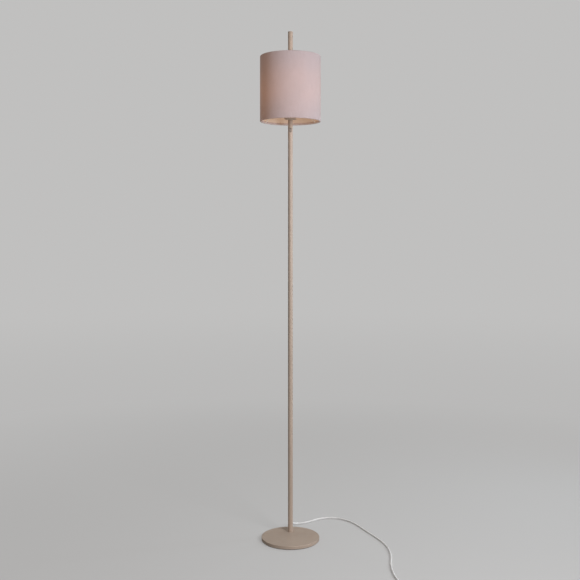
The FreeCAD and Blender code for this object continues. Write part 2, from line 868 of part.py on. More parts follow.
def switch_housing():
    """Bezel that saddles the pole, over a body in the slot, hollow for the rocker."""
    housing = body("switch_housing", y="lamp.pole_offset", z="lamp.switch_height")
    front = "(lamp.pole_diameter / 2 + lamp.bezel_stand)"
    bezel = sketch_on(housing, "XZ_Plane", front)
    rectangle(bezel, "lamp.bezel_width", "lamp.bezel_height", corner="1.2")
    feature(housing, "Pad", bezel, Length="3.6", Reversed=True)
    saddle = sketch_on(housing, "XY_Plane")
    circle(saddle, "lamp.pole_diameter / 2 + 0.02")
    feature(housing, "Pocket", saddle, SideType="Symmetric", Length=RIGHT_THROUGH)
    core = sketch_on(housing, "XZ_Plane", f"{front} - 0.3")
    rectangle(core, "lamp.switch_body_width", "lamp.switch_body_height")
    feature(housing, "Pad", core, Length="lamp.switch_body_depth - 0.3", Reversed=True)
    cavity = sketch_on(housing, "XZ_Plane", front)
    rectangle(cavity, "(lamp.rocker_width + 0.4)", "(2 * (lamp.rocker_radius + lamp.rocker_gap))")
    feature(housing, "Pocket", cavity, Length="6.8")
    pivot = sketch_on(housing, "YZ_Plane")
    circle(pivot, "lamp.rocker_pin_diameter / 2 + 0.07", (f"lamp.rocker_pivot_depth - {front}", "0"))
    feature(housing, "Pocket", pivot, SideType="Symmetric", Length=RIGHT_THROUGH)


def switch_rocker():
    """Rocker with round ends about its pivot and a dished front, on two stub pins, tipped to one side."""
    rocker = body(
        "switch_rocker",
        y="lamp.pole_offset - lamp.pole_diameter / 2 - lamp.bezel_stand + lamp.rocker_pivot_depth",
        z="lamp.switch_height",
    )
    rocker.Placement = FreeCAD.Placement(vector(0, 0), FreeCAD.Rotation(vector(1, 0, 0), size("rocker_tilt")))
    rocker.setExpression("Placement.Rotation.Angle", "lamp.rocker_tilt")
    tip = "lamp.rocker_radius"
    front, back = 4.3, 2.0
    front_height = f"sqrt({tip} * {tip} - {front * front:.2f})"
    back_height = f"sqrt({tip} * {tip} - {back * back:.2f})"
    sketch = sketch_on(rocker, "YZ_Plane")
    outline(
        sketch,
        [
            ("-3", "0"),
            (f"-{front}", f"0 - {front_height}"),
            (f"{back}", f"0 - {back_height}"),
            ("2.3", "-2"),
            ("2.3", "2"),
            (f"{back}", back_height),
            (f"-{front}", front_height),
        ],
        {0: ("9", "left"), 1: (tip, "right"), 5: (tip, "right"), 6: ("9", "left")},
    )
    feature(rocker, "Pad", sketch, SideType="Symmetric", Length="lamp.rocker_width")
    pivot = sketch_on(rocker, "YZ_Plane")
    circle(pivot, "lamp.rocker_pin_diameter / 2")
    feature(rocker, "Pad", pivot, SideType="Symmetric", Length="lamp.switch_body_width - 0.4")


def switch_terminals():
    """Two tabs behind the switch, which the live wire and the switched wire end on."""
    tabs = body("switch_terminals", y="lamp.pole_offset", z="lamp.switch_height")
    tabs.AllowCompound = True
    back = "(lamp.pole_diameter / 2 + lamp.bezel_stand - lamp.switch_body_depth)"
    sketch = sketch_on(tabs, "XZ_Plane", back)
    rectangle(sketch, "2.8", "0.8", ("0 - lamp.terminal_offset", "4.2"))
    tab = feature(tabs, "Pad", sketch, Length="lamp.terminal_length", Reversed=True)
    pattern(tabs, "Mirrored", tab, "XY_Plane")


# ---------------------------------------------------------------- lampholder


# Underside of the plate that the shade's frame sits on the lampholder's flange with.
FITTER_PLATE = "lamp.cup_bottom + lamp.cup_height + lamp.holder_flange_thickness + lamp.running_gap"


def holder_arm():
    """Short tube from the pole to the cup, which carries the head and the wires."""
    arm = body("holder_arm", z="lamp.arm_height")
    near = "lamp.cup_diameter / 2 - lamp.cup_wall"
    far = "lamp.pole_offset - lamp.pole_bore / 2"
    turned(
        arm,
        [
            (near, "lamp.arm_bore / 2"),
            (near, "lamp.arm_diameter / 2"),
            (far, "lamp.arm_diameter / 2"),
            (far, "lamp.arm_bore / 2"),
        ],
        role="YZ_Plane",
        axis="H_Axis",
    )


def holder_cup():
    """Pressed cup round the bottom of the lampholder, with a round edge and the arm's hole."""
    cup = body("holder_cup", z="lamp.cup_bottom")
    outer, wall, top = "lamp.cup_diameter / 2", "lamp.cup_wall", "lamp.cup_height"
    edge = "lamp.cup_edge_radius"
    turned(
        cup,
        [
            ("0", "0"),
            (f"{outer} - {edge}", "0"),
            (outer, edge),
            (outer, top),
            (f"{outer} - {wall}", top),
            (f"{outer} - {wall}", f"{edge} + {wall}"),
            (f"{outer} - {edge} - {wall}", wall),
            ("0", wall),
        ],
        {1: (edge, "right"), 5: (edge, "left")},
    )
    hole = sketch_on(cup, "XZ_Plane")
    circle(hole, "lamp.arm_diameter / 2", ("0", "lamp.arm_height - lamp.cup_bottom"))
    feature(cup, "Pocket", hole, Type="ThroughAll")
    screw = sketch_on(cup, "YZ_Plane")
    circle(screw, "lamp.holder_screw_diameter / 2 + 0.35", ("0", "lamp.cup_height - lamp.holder_screw_drop"))
    feature(cup, "Pocket", screw, SideType="Symmetric", Length=RIGHT_THROUGH)


def lampholder_body():
    """Moulded body: floor with the contact's well, seat in the cup, flange for the shade and open skirt."""
    holder = body("lampholder_body", z="lamp.cup_bottom + lamp.cup_height")
    inside_cup = "lamp.cup_diameter / 2 - lamp.cup_wall - 0.1"
    flange, thick = "lamp.holder_flange_diameter / 2", "lamp.holder_flange_thickness"
    skirt, mouth = "lamp.skirt_diameter / 2", "lamp.skirt_height + lamp.holder_flange_thickness"
    socket, well = "lamp.socket_diameter / 2", "lamp.socket_well_diameter / 2"
    turned(
        holder,
        [
            ("0", "0 - lamp.holder_depth"),
            ("14.5", "0 - lamp.holder_depth"),
            ("15.5", "1 - lamp.holder_depth"),
            ("15.5", "-7"),
            (inside_cup, "-5"),
            (inside_cup, "0"),
            (flange, "0"),
            (flange, f"{thick} - 0.6"),
            (f"{flange} - 0.6", thick),
            (skirt, thick),
            (skirt, f"{mouth} - 1"),
            (f"{skirt} - 1", mouth),
            (f"{socket} + 0.6", mouth),
            (socket, f"{mouth} - 0.6"),
            (socket, "0 - lamp.socket_floor"),
            (well, "0 - lamp.socket_floor"),
            (well, "0 - lamp.well_depth"),
            ("0", "0 - lamp.well_depth"),
        ],
    )
    screw = sketch_on(holder, "YZ_Plane")
    circle(screw, "lamp.holder_screw_diameter / 2 + 0.05", ("0", "0 - lamp.holder_screw_drop"))
    feature(holder, "Pocket", screw, SideType="Symmetric", Length=RIGHT_THROUGH)


def lampholder_shell():
    """Metal shell in the socket, which the bulb's cap turns in."""
    shell = body("lampholder_shell", z="lamp.cup_bottom + lamp.cup_height - lamp.socket_floor")
    outer, wall, well = "lamp.socket_diameter / 2 - 0.05", "lamp.shell_wall", "lamp.socket_well_diameter / 2"
    turned(
        shell,
        [
            (f"{well} + 0.4", "0"),
            (outer, "0"),
            (outer, "lamp.shell_height"),
            (f"{outer} - {wall}", "lamp.shell_height"),
            (f"{outer} - {wall}", wall),
            (f"{well} + 0.4", wall),
        ],
    )


def centre_contact():
    """Bent spring strip on the floor of the well, under the bulb's contact."""
    well_floor = "(lamp.cup_bottom + lamp.cup_height - lamp.well_depth)"
    strip = body("centre_contact", z=well_floor)
    sketch = sketch_on(strip, "XZ_Plane")
    top = f"lamp.bulb_bottom - 0.1 - {well_floor}"
    outline(
        sketch,
        [
            ("-7", "0"),
            ("-2.4", "0"),
            ("3.6", f"{top} - 0.7"),
            ("6", f"{top} - 0.7"),
            ("6", f"{top} - 0.1"),
            ("3", top),
            ("-2.8", "0.6"),
            ("-7", "0.6"),
        ],
    )
    feature(strip, "Pad", sketch, SideType="Symmetric", Length="lamp.contact_width")


def holder_terminals():
    """Two brass terminals under the lampholder's floor."""
    posts = body("holder_terminals", z="lamp.cup_bottom + lamp.cup_height - lamp.holder_depth")
    posts.AllowCompound = True
    sketch = sketch_on(posts, "XY_Plane")
    rectangle(sketch, "lamp.terminal_block", "lamp.terminal_block", ("lamp.terminal_block_offset", "0"))
    post = feature(posts, "Pad", sketch, Length="lamp.terminal_block_height", Reversed=True)
    pattern(posts, "Mirrored", post, "YZ_Plane")


def holder_screws():
    """Two small pan-head screws through the cup's sides, which hold the lampholder."""
    screws = body("holder_screws", z="lamp.cup_bottom + lamp.cup_height - lamp.holder_screw_drop")
    screws.AllowCompound = True
    outer, thread = "lamp.cup_diameter / 2", "lamp.holder_screw_diameter / 2"
    tip = f"{outer} - lamp.holder_screw_reach"
    screw = turned(
        screws,
        [
            (tip, "0"),
            (tip, thread),
            (outer, thread),
            (outer, "2.5"),
            (f"{outer} + 0.7", "2.3"),
            (f"{outer} + 1.3", "1.4"),
            (f"{outer} + 1.5", "0"),
        ],
        role="XZ_Plane",
        axis="H_Axis",
    )
    pattern(screws, "Mirrored", screw, "YZ_Plane")


def ring_nut():
    """Moulded ring that turns on the skirt and clamps the shade, with finger scallops round its flange."""
    nut = body("shade_ring_nut", z=f"{FITTER_PLATE} + lamp.fitter_thickness + lamp.running_gap")
    bore, outer = "lamp.skirt_diameter / 2 + 0.1", "lamp.ring_nut_diameter / 2"
    height = "lamp.ring_nut_height"
    turned(
        nut,
        [
            (bore, "0"),
            (outer, "0"),
            (outer, "2.4"),
            (f"{outer} - 0.8", "3.2"),
            (f"{bore} + 3.2", "3.6"),
            (f"{bore} + 2.6", height),
            (bore, height),
        ],
    )
    doc.recompute()
    sketch = sketch_on(nut, "XY_Plane")
    circle(sketch, "3.2", (f"{outer} + 2", "0"))
    scallop = feature(nut, "Pocket", sketch, Type="ThroughAll", Reversed=True)
    pattern(nut, "PolarPattern", scallop, "Z_Axis", 12)


# ---------------------------------------------------------------- shade

SHADE_RADIUS = "lamp.shade_diameter / 2"
RING_RADIUS = f"({SHADE_RADIUS} - lamp.cover_thickness - lamp.frame_wire / 2)"
RING_RISE = "(lamp.cover_thickness + lamp.frame_wire / 2)"


def shade_cover():
    """Fabric drum: one skin whose edges fold round the wire rings and back up the inside."""
    cover = body("shade_cover", z="lamp.shade_bottom")
    outer, skin, wire = SHADE_RADIUS, "lamp.cover_thickness", "lamp.frame_wire / 2"
    lining = f"({outer} - {skin} - lamp.liner_thickness)"
    fold = f"({wire} + {skin})"

    def hem(at):
        """Corners and arcs of one fold, from the outer wall round to its inner edge and back."""
        near, past, hang, edge = at("0"), at(wire), at("lamp.hem_start"), at("lamp.hem_width")
        return [
            (outer, near),
            (RING_RADIUS, at(f"0 - {fold}")),
            (f"{RING_RADIUS} - {fold}", near),
            (f"{RING_RADIUS} - {fold}", past),
            (f"{lining} - {skin}", hang),
            (f"{lining} - {skin}", edge),
            (lining, edge),
            (lining, hang),
            (f"{RING_RADIUS} - {wire}", past),
            (f"{RING_RADIUS} - {wire}", near),
            (RING_RADIUS, at(f"0 - {wire}")),
            (f"{outer} - {skin}", near),
        ]

    low = hem(lambda rise: f"{RING_RISE} + {rise}")
    high = hem(lambda rise: f"lamp.shade_height - {RING_RISE} - ({rise})")
    corners = low + high[::-1]
    outside, inside = (fold, "left"), (wire, "right")
    arcs = {0: outside, 1: outside, 9: inside, 10: inside, 12: inside, 13: inside, 21: outside, 22: outside}
    turned(cover, corners, arcs)
    notch = sketch_on(cover, "XZ_Plane", f"{SHADE_RADIUS} - lamp.notch_inset")
    high_edge = f"({RING_RISE} + lamp.hem_width)"
    rectangle(notch, "lamp.notch_width", high_edge, ("0", f"{high_edge} / 2 + lamp.notch_rise"))
    slit = feature(cover, "Pocket", notch, Length="lamp.notch_depth", Reversed=True)
    pattern(cover, "PolarPattern", slit, "Z_Axis", 3)


def shade_liner():
    """Stiff lining that the fabric is laminated on, between the two rings."""
    liner = body("shade_liner", z="lamp.shade_bottom")
    outer = f"({SHADE_RADIUS} - lamp.cover_thickness)"
    low = f"({RING_RISE} + lamp.liner_inset)"
    high = f"(lamp.shade_height - {RING_RISE} - lamp.liner_inset)"
    inner = f"{outer} - lamp.liner_thickness"
    turned(liner, [(inner, low), (outer, low), (outer, high), (inner, high)])


def wire_ring(owner, height):
    sketch = sketch_on(owner, "XZ_Plane")
    circle(sketch, "lamp.frame_wire / 2", (RING_RADIUS, height))
    return feature(owner, "Revolution", sketch, ReferenceAxis=(sketch, ["V_Axis"]), Angle=360)


def shade_top_ring():
    """Wire ring in the upper hem."""
    wire_ring(body("shade_top_ring", z="lamp.shade_bottom"), f"lamp.shade_height - {RING_RISE}")


def shade_fitter():
    """Welded wire frame: ring in the lower hem, three bent arms and the plate that sits on the lampholder."""
    fitter = body("shade_fitter", z="lamp.shade_bottom")
    wire_ring(fitter, RING_RISE)
    plate = f"({FITTER_PLATE} - lamp.shade_bottom)"
    middle = f"({plate} + lamp.fitter_thickness / 2)"
    inner_end, bend = "(lamp.fitter_diameter / 2 - 1.5)", "lamp.arm_bend_radius"
    path = sketch_on(fitter, "XZ_Plane")
    corners = [(inner_end, middle), (bend, middle), (RING_RADIUS, RING_RISE)]
    points = [vector(size(x), size(y)) for x, y in corners]
    run = path.addGeometry(Part.LineSegment(points[0], points[1]))
    slope = path.addGeometry(Part.LineSegment(points[1], points[2]))
    pin(path, run, 1, corners[0])
    pin(path, run, 2, corners[1])
    path.addConstraint(Sketcher.Constraint("Coincident", run, 2, slope, 1))
    pin(path, slope, 2, corners[2])
    section = sketch_on(fitter, "YZ_Plane", inner_end)
    circle(section, "lamp.frame_wire / 2", ("0", middle))
    arm = bent_wire(fitter, section, path)
    pattern(fitter, "PolarPattern", arm, "Z_Axis", 3)
    doc.recompute()
    inner, outer = "lamp.fitter_bore / 2", "lamp.fitter_diameter / 2"
    top = f"{plate} + lamp.fitter_thickness"
    turned(fitter, [(inner, plate), (outer, plate), (outer, top), (inner, top)])
    fitter.Placement = FreeCAD.Placement(vector(0, 0), FreeCAD.Rotation(vector(0, 0, 1), -90))
    fitter.setExpression("Placement.Base.z", "lamp.shade_bottom")


def bent_wire(owner, section, path):
    pipe = owner.newObject("PartDesign::AdditivePipe", owner.Label + "_pipe")
    pipe.Profile = section
    pipe.Spine = (path, [])
    pipe.Transition = "Round corner"
    return pipe


# ---------------------------------------------------------------- bulb


def bulb():
    """Opal bulb: solder contact, glass insulator, screw cap, moulded neck, light board and hollow globe."""
    cap, cap_top = "lamp.bulb_cap_diameter / 2", "lamp.bulb_cap_top"
    neck_top, globe = "lamp.bulb_housing_top", "lamp.bulb_diameter / 2"
    middle = f"(lamp.bulb_length - {globe})"
    wall = "lamp.globe_wall"
    rim = f"sqrt({globe} * {globe} - ({middle} - {neck_top}) * ({middle} - {neck_top}))"
    pieces = {name: body(name, z="lamp.bulb_bottom") for name in BULB_PIECES}
    turned(
        pieces["bulb_contact"],
        [("0", "0"), ("3", "0"), ("4.7", "1"), ("4.7", "2"), ("0", "2")],
        {1: ("2.2", "right")},
    )
    turned(
        pieces["bulb_insulator"],
        [("0", "2"), ("5.6", "2"), ("10.6", "5.5"), ("10.6", "6.4"), ("0", "6.4")],
    )
    turned(
        pieces["bulb_cap"],
        [
            ("10.6", "5.5"),
            (f"{cap} - 0.8", "6.6"),
            (cap, "7.6"),
            (cap, cap_top),
            (f"{cap} - 0.5", cap_top),
            (f"{cap} - 0.5", "7.8"),
            (f"{cap} - 1.1", "7.1"),
            ("10.6", "6.2"),
        ],
    )
    turned(
        pieces["bulb_neck"],
        [
            ("0", "8"),
            (f"{cap} - 0.6", "8"),
            (f"{cap} - 0.6", cap_top),
            (f"{cap} + 0.3", cap_top),
            (f"{cap} + 0.5", f"{cap_top} + 6"),
            (rim, neck_top),
            ("0", neck_top),
        ],
        {4: ("62", "left")},
    )
    board = f"{rim} - {wall} - 1"
    board_top = f"{neck_top} + 1.6"
    turned(
        pieces["bulb_light_board"],
        [("0", neck_top), (board, neck_top), (board, board_top), ("0", board_top)],
    )
    inner = f"({globe} - {wall})"
    inner_rim = f"sqrt({inner} * {inner} - ({middle} - {neck_top}) * ({middle} - {neck_top}))"
    turned(
        pieces["bulb_globe"],
        [
            (rim, neck_top),
            (globe, middle),
            ("0", "lamp.bulb_length"),
            ("0", f"lamp.bulb_length - {wall}"),
            (inner, middle),
            (inner_rim, neck_top),
        ],
        {0: (globe, "right"), 1: (globe, "right"), 3: (inner, "left"), 4: (inner, "left")},
    )


# ---------------------------------------------------------------- assembly


def build():
    base_plate()
    base_pad()
    base_screw()
    base_washer()
    foot_plug()
    pole_lower()
    tube("pole_middle", "lamp.lower_joint", "lamp.upper_joint")
    pole_upper()
    joiner("lower_joiner", "lamp.lower_joint")
    joiner("upper_joiner", "lamp.upper_joint")
    pole_cap()
    strain_relief()
    inner_cable()
    wires()
    switch_housing()
    switch_rocker()
    switch_terminals()
    holder_arm()
    holder_cup()
    lampholder_body()
    lampholder_shell()
    centre_contact()
    holder_terminals()
    holder_screws()
    ring_nut()
    shade_cover()
    shade_liner()
    shade_top_ring()
    shade_fitter()
    bulb()
    free_cord()
    cord_coil()
    plug(cord_tail())
    cord_tie()
    doc.recompute()


def check():
    """Stop if anything failed to build, or a cut took nothing away."""
    for item in doc.Objects:
        if "Invalid" in item.State or "Error" in item.State:
            raise RuntimeError(f"{item.Label} failed: {item.State}")
    for cut in cuts:
        removed = cut.BaseFeature.Shape.Volume - cut.Shape.Volume
        if removed < 0.01:
            raise RuntimeError(f"{cut.Label} cuts nothing")
    for item in parts:
        if item.Shape.isNull() or not item.Shape.isValid():
            raise RuntimeError(f"{item.Label} is not a valid solid")


def export():
    os.makedirs("parts", exist_ok=True)
    for item in parts:
        item.Shape.exportStep(f"parts/{item.Label}.step")
        print(f"{item.Label}: {len(item.Shape.Solids)} solid(s), {item.Shape.Volume:.0f} mm3")


build()
check()
export()
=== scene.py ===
import json
import math

import bpy
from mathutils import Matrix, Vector


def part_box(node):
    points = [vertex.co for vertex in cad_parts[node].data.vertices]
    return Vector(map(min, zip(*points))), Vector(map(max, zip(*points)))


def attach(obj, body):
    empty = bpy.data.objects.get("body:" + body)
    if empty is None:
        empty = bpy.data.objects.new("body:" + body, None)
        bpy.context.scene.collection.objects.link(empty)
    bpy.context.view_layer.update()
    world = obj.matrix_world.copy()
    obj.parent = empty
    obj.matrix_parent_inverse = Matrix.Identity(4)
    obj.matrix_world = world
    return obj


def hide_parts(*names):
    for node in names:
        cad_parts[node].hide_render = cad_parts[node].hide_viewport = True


# Looks of the column floor lamp. Metres, in the frame of the solids: the origin is on the floor under the
# middle of the base, +Z is up and -Y is the front.

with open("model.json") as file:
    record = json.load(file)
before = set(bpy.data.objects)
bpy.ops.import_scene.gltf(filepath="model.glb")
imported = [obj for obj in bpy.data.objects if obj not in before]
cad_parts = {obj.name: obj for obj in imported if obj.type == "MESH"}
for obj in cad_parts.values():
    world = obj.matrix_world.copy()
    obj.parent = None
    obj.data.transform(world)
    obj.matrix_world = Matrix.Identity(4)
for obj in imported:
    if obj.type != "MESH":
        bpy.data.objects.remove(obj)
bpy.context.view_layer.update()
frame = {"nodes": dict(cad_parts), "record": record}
scene = bpy.context.scene
scene.view_settings.view_transform = "Standard"

# ---------------------------------------------------------------- camera

FRAME_PIXELS = 580
SENSOR = 36.0
FOCAL_PIXELS = 865.0
DISTANCE = 2.849
EYE_HEIGHT = 1.0005
AXIS_PIXEL = 290.4
HORIZON_PIXEL = 236.0

camera_data = bpy.data.cameras.new("camera")
camera_data.sensor_width = SENSOR
camera_data.lens = FOCAL_PIXELS / FRAME_PIXELS * SENSOR
camera_data.shift_x = (FRAME_PIXELS / 2 - AXIS_PIXEL) / FRAME_PIXELS
camera_data.shift_y = (HORIZON_PIXEL - FRAME_PIXELS / 2) / FRAME_PIXELS
camera = bpy.data.objects.new("camera", camera_data)
camera.location = (0, -DISTANCE, EYE_HEIGHT)
camera.rotation_euler = (math.radians(90), 0, 0)
scene.collection.objects.link(camera)
scene.camera = camera

# ---------------------------------------------------------------- mains cord

CORD_DIAMETER = 0.0064
CORD_EXIT = (0, 0.077, 0.026)
LAID = 0.0033
CORD_ROUTE = [
    CORD_EXIT,
    (0, 0.095, 0.026),
    (0.003, 0.112, 0.020),
    (0.012, 0.130, 0.0108),
    (0.030, 0.148, 0.0048),
    (0.050, 0.160, LAID),
    (0.074, 0.1775, LAID),
    (0.100, 0.201, LAID),
    (0.133, 0.2135, LAID),
    (0.166, 0.2095, LAID),
    (0.198, 0.187, LAID),
    (0.225, 0.150, LAID),
    (0.250, 0.088, LAID),
    (0.284, 0.014, LAID),
    (0.311, -0.063, LAID),
    (0.316, -0.147, LAID),
    (0.303, -0.232, LAID),
    (0.304, -0.306, 0.0036),
    (0.3144, -0.3646, 0.0044),
]
CORD_TAIL = [
    (0.2471, -0.46507, 0.0114),
    (0.2315, -0.46216, 0.00895),
    (0.2115, -0.46016, 0.00695),
    (0.1975, -0.46016, 0.00695),
]
COIL_CENTRE = (0.2695, -0.421)
COIL_RADIUS = 0.0435
COIL_PITCH = 0.007
COIL_FLOOR = 0.0044
COIL_TURNS = 5.25
HALF_CLIMB = 0.25
POINTS_A_TURN = 24


def coil_point(turns):
    """Steadily in and out again, climbing to the second layer at the middle."""
    middle = COIL_TURNS / 2
    radius = COIL_RADIUS - COIL_PITCH * (middle - abs(turns - middle))
    climbed = min(max((turns - middle) / (2 * HALF_CLIMB) + 0.5, 0.0), 1.0)
    height = COIL_FLOOR + COIL_PITCH * climbed**2 * (3 - 2 * climbed)
    angle = -2 * math.pi * turns
    return (
        COIL_CENTRE[0] + radius * math.cos(angle),
        COIL_CENTRE[1] + radius * math.sin(angle),
        height,
    )


coil = [coil_point(step / POINTS_A_TURN) for step in range(int(COIL_TURNS * POINTS_A_TURN) + 1)]
cord_data = bpy.data.curves.new("cord", "CURVE")
cord_data.dimensions = "3D"
cord_data.bevel_depth = 1.0
cord_data.bevel_resolution = 4
cord_data.resolution_u = 6
cord_data.use_fill_caps = True
spline = cord_data.splines.new("NURBS")
cord_points = CORD_ROUTE + coil + CORD_TAIL
spline.points.add(len(cord_points) - 1)
for point, place in zip(spline.points, cord_points):
    point.co = (*place, 1)
    point.radius = CORD_DIAMETER / 2
spline.order_u = 3
spline.use_endpoint_u = True
cord = bpy.data.objects.new("cord", cord_data)
scene.collection.objects.link(cord)
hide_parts("mains_cord", "cord_coil", "cord_tail")
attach(cord, "stand")

# ---------------------------------------------------------------- floor and lights

FLOOR_HALF = 30.0
FLOOR_COLOUR = (0.35, 0.34, 0.33)
FLOOR_SEEN = (0.72, 0.715, 0.71)
BACKDROP = (0.53, 0.526, 0.521)
NEAR_GLOW = (0.485, 0.481, 0.477)
AMBIENT = (1.0, 0.96, 0.90, 1)
AMBIENT_LEVEL = 0.19
LIGHTS = [  # name, place, point that it faces, width, height, radiance, colour
    ("key", (1.30, -1.80, 1.38), (0, 0, 1.28), 0.9, 0.95, 15.4, (1.0, 0.995, 1.02)),
    ("fill", (-2.4, -2.0, 1.5), (0, 0, 1.2), 1.2, 1.6, 0.6, (1.0, 0.93, 0.86)),
    ("side_right", (1.75, 0.55, 1.1), (0, 0, 1.05), 0.25, 1.3, 7.5, (0.76, 0.90, 1.0)),
    ("high_back", (0.2, 1.5, 2.5), (0, 0, 1.4), 1.0, 0.8, 3.0, (1.0, 0.96, 0.90)),
    ("back_left", (-1.5, 1.6, 1.3), (0, 0, 1.15), 0.5, 1.3, 2.6, (0.94, 0.96, 1.0)),
    ("back_right", (1.5, 1.6, 1.3), (0, 0, 1.15), 0.5, 1.3, 2.6, (0.94, 0.96, 1.0)),
]


def plane(name, half):
    mesh = bpy.data.meshes.new(name)
    corners = [(-half, -half, 0), (half, -half, 0), (half, half, 0), (-half, half, 0)]
    mesh.from_pydata(corners, [], [(0, 1, 2, 3)])
    made = bpy.data.objects.new(name, mesh)
    scene.collection.objects.link(made)
    return made


def area_light(name, place, target, width, height, radiance, colour):
    """A soft box that faces a point. The radiance is what a mirror turned to it would show."""
    data = bpy.data.lights.new(name, "AREA")
    data.shape = "RECTANGLE"
    data.size, data.size_y = width, height
    data.energy = radiance * math.pi * width * height
    data.color = colour
    made = bpy.data.objects.new(name, data)
    made.location = place
    made.rotation_euler = (Vector(target) - Vector(place)).to_track_quat("-Z", "Y").to_euler()
    scene.collection.objects.link(made)


floor = plane("studio_floor", FLOOR_HALF)
for light in LIGHTS:
    area_light(*light)

world = bpy.data.worlds.new("studio")
scene.world = world
world.use_nodes = True
world_nodes, world_links = world.node_tree.nodes, world.node_tree.links
world_nodes.clear()
ambient = world_nodes.new("ShaderNodeBackground")
ambient.inputs["Color"].default_value = AMBIENT
ambient.inputs["Strength"].default_value = AMBIENT_LEVEL
backdrop = world_nodes.new("ShaderNodeBackground")
backdrop.inputs["Color"].default_value = (*BACKDROP, 1)
rays = world_nodes.new("ShaderNodeLightPath")
seen = world_nodes.new("ShaderNodeMath")
seen.operation = "MAXIMUM"
world_links.new(rays.outputs["Is Camera Ray"], seen.inputs[0])
world_links.new(rays.outputs["Is Transmission Ray"], seen.inputs[1])
chosen = world_nodes.new("ShaderNodeMixShader")
world_links.new(seen.outputs[0], chosen.inputs[0])
world_links.new(ambient.outputs[0], chosen.inputs[1])
world_links.new(backdrop.outputs[0], chosen.inputs[2])
sky = world_nodes.new("ShaderNodeOutputWorld")
world_links.new(chosen.outputs[0], sky.inputs["Surface"])

# ---------------------------------------------------------------- materials


class Nodes:
    """A material's nodes, written as calls that give back the socket they end in."""

    def __init__(self, name):
        self.material = bpy.data.materials.new(name)
        self.material.use_nodes = True
        self.tree = self.material.node_tree
        self.tree.nodes.clear()
        self.shader = self.tree.nodes.new("ShaderNodeBsdfPrincipled")
        self.surface = self.tree.nodes.new("ShaderNodeOutputMaterial").inputs["Surface"]
        self.tree.links.new(self.shader.outputs[0], self.surface)
        self.object_place = self.tree.nodes.new("ShaderNodeTexCoord").outputs["Object"]

    def feed(self, socket, value):
        if isinstance(value, bpy.types.NodeSocket):
            self.tree.links.new(value, socket)
        else:
            socket.default_value = value

    def principled(self, **settings):
        for name, value in settings.items():
            self.feed(self.shader.inputs[name.replace("_", " ")], value)

    def math(self, operation, first, second=0.0):
        node = self.tree.nodes.new("ShaderNodeMath")
        node.operation = operation
        for socket, value in zip(node.inputs, (first, second)):
            self.feed(socket, value)
        return node.outputs[0]

    def product(self, first, second):
        return self.math("MULTIPLY", first, second)

    def stretched(self, x, y, z, place=None):
        """The place multiplied by a number along each axis."""
        node = self.tree.nodes.new("ShaderNodeVectorMath")
        node.operation = "MULTIPLY"
        self.feed(node.inputs[0], place or self.object_place)
        node.inputs[1].default_value = (x, y, z)
        return node.outputs[0]

    def noise(self, scale, place=None, detail=3.0, roughness=0.5):
        node = self.tree.nodes.new("ShaderNodeTexNoise")
        self.feed(node.inputs["Vector"], place or self.object_place)
        node.inputs["Scale"].default_value = scale
        node.inputs["Detail"].default_value = detail
        node.inputs["Roughness"].default_value = roughness
        return node.outputs["Fac"]

    def ramp(self, value, low, high, to_low=0.0, to_high=1.0, smooth=False):
        """The value's stretch from low to high, spread over the one from to_low to to_high."""
        node = self.tree.nodes.new("ShaderNodeMapRange")
        if smooth:
            node.interpolation_type = "SMOOTHSTEP"
        self.feed(node.inputs["Value"], value)
        limits = {"From Min": low, "From Max": high, "To Min": to_low, "To Max": to_high}
        for name, number in limits.items():
            node.inputs[name].default_value = number
        return node.outputs[0]

    def mix(self, amount, first, second):
        node = self.tree.nodes.new("ShaderNodeMix")
        node.data_type = "RGBA"
        self.feed(node.inputs[0], amount)
        for socket, colour in zip((node.inputs[6], node.inputs[7]), (first, second)):
            self.feed(socket, colour if isinstance(colour, bpy.types.NodeSocket) else (*colour, 1))
        return node.outputs[2]

    def bump(self, height, distance, strength, under=None):
        node = self.tree.nodes.new("ShaderNodeBump")
        node.inputs["Strength"].default_value = strength
        node.inputs["Distance"].default_value = distance
        self.feed(node.inputs["Height"], height)
        if under:
            self.feed(node.inputs["Normal"], under)
        return node.outputs[0]

    def axes(self, place=None):
        node = self.tree.nodes.new("ShaderNodeSeparateXYZ")
        self.feed(node.inputs[0], place or self.object_place)
        return node.outputs

    def from_axis(self):
        """Distance from the upright axis."""
        x, y, _ = self.axes()
        return self.math("SQRT", self.math("ADD", self.product(x, x), self.product(y, y)))

    def joined(self, x, y, z):
        node = self.tree.nodes.new("ShaderNodeCombineXYZ")
        for socket, value in zip(node.inputs, (x, y, z)):
            self.feed(socket, value)
        return node.outputs[0]


def scaled(colour, factor):
    return tuple(min(channel * factor, 1.0) for channel in colour)


WIDE = (0.3, 0.7)  # stretches of a noise's range that are spread over a tone or a gloss
CRISP = (0.35, 0.65)
GLOSS_VARIES = 0.12


def plain_finish(
    name, colour, roughness, vary=0.06, patch=40, grain=900, depth=0.00003, metallic=0.0, **more
):
    """A moulded, painted or plated surface: slow patches of tone, uneven gloss and a fine grain."""
    made = Nodes(name)
    tone = made.ramp(made.noise(patch, detail=4), *CRISP)
    gloss = (roughness * (1 - GLOSS_VARIES), roughness * (1 + GLOSS_VARIES))
    made.principled(
        Base_Color=made.mix(tone, scaled(colour, 1 - vary), scaled(colour, 1 + vary)),
        Roughness=made.ramp(made.noise(patch * 3), *WIDE, *gloss),
        Normal=made.bump(made.noise(grain, detail=2), depth, 0.6),
        Metallic=metallic,
        **more,
    )
    return made.material


PAINT_ROUGHNESS = (0.37, 0.47)
PAINT_VARIES = 0.035
PEEL_DEPTH = 0.00005
PAINT_GRAIN_DEPTH = 0.00001
SPECK_SHARE = 0.16
SPECK_PALER = 1.22
DUST = (0.60, 0.57, 0.53)
DUST_SHARE = 0.10
FACES_UP = (0.7, 1.0)


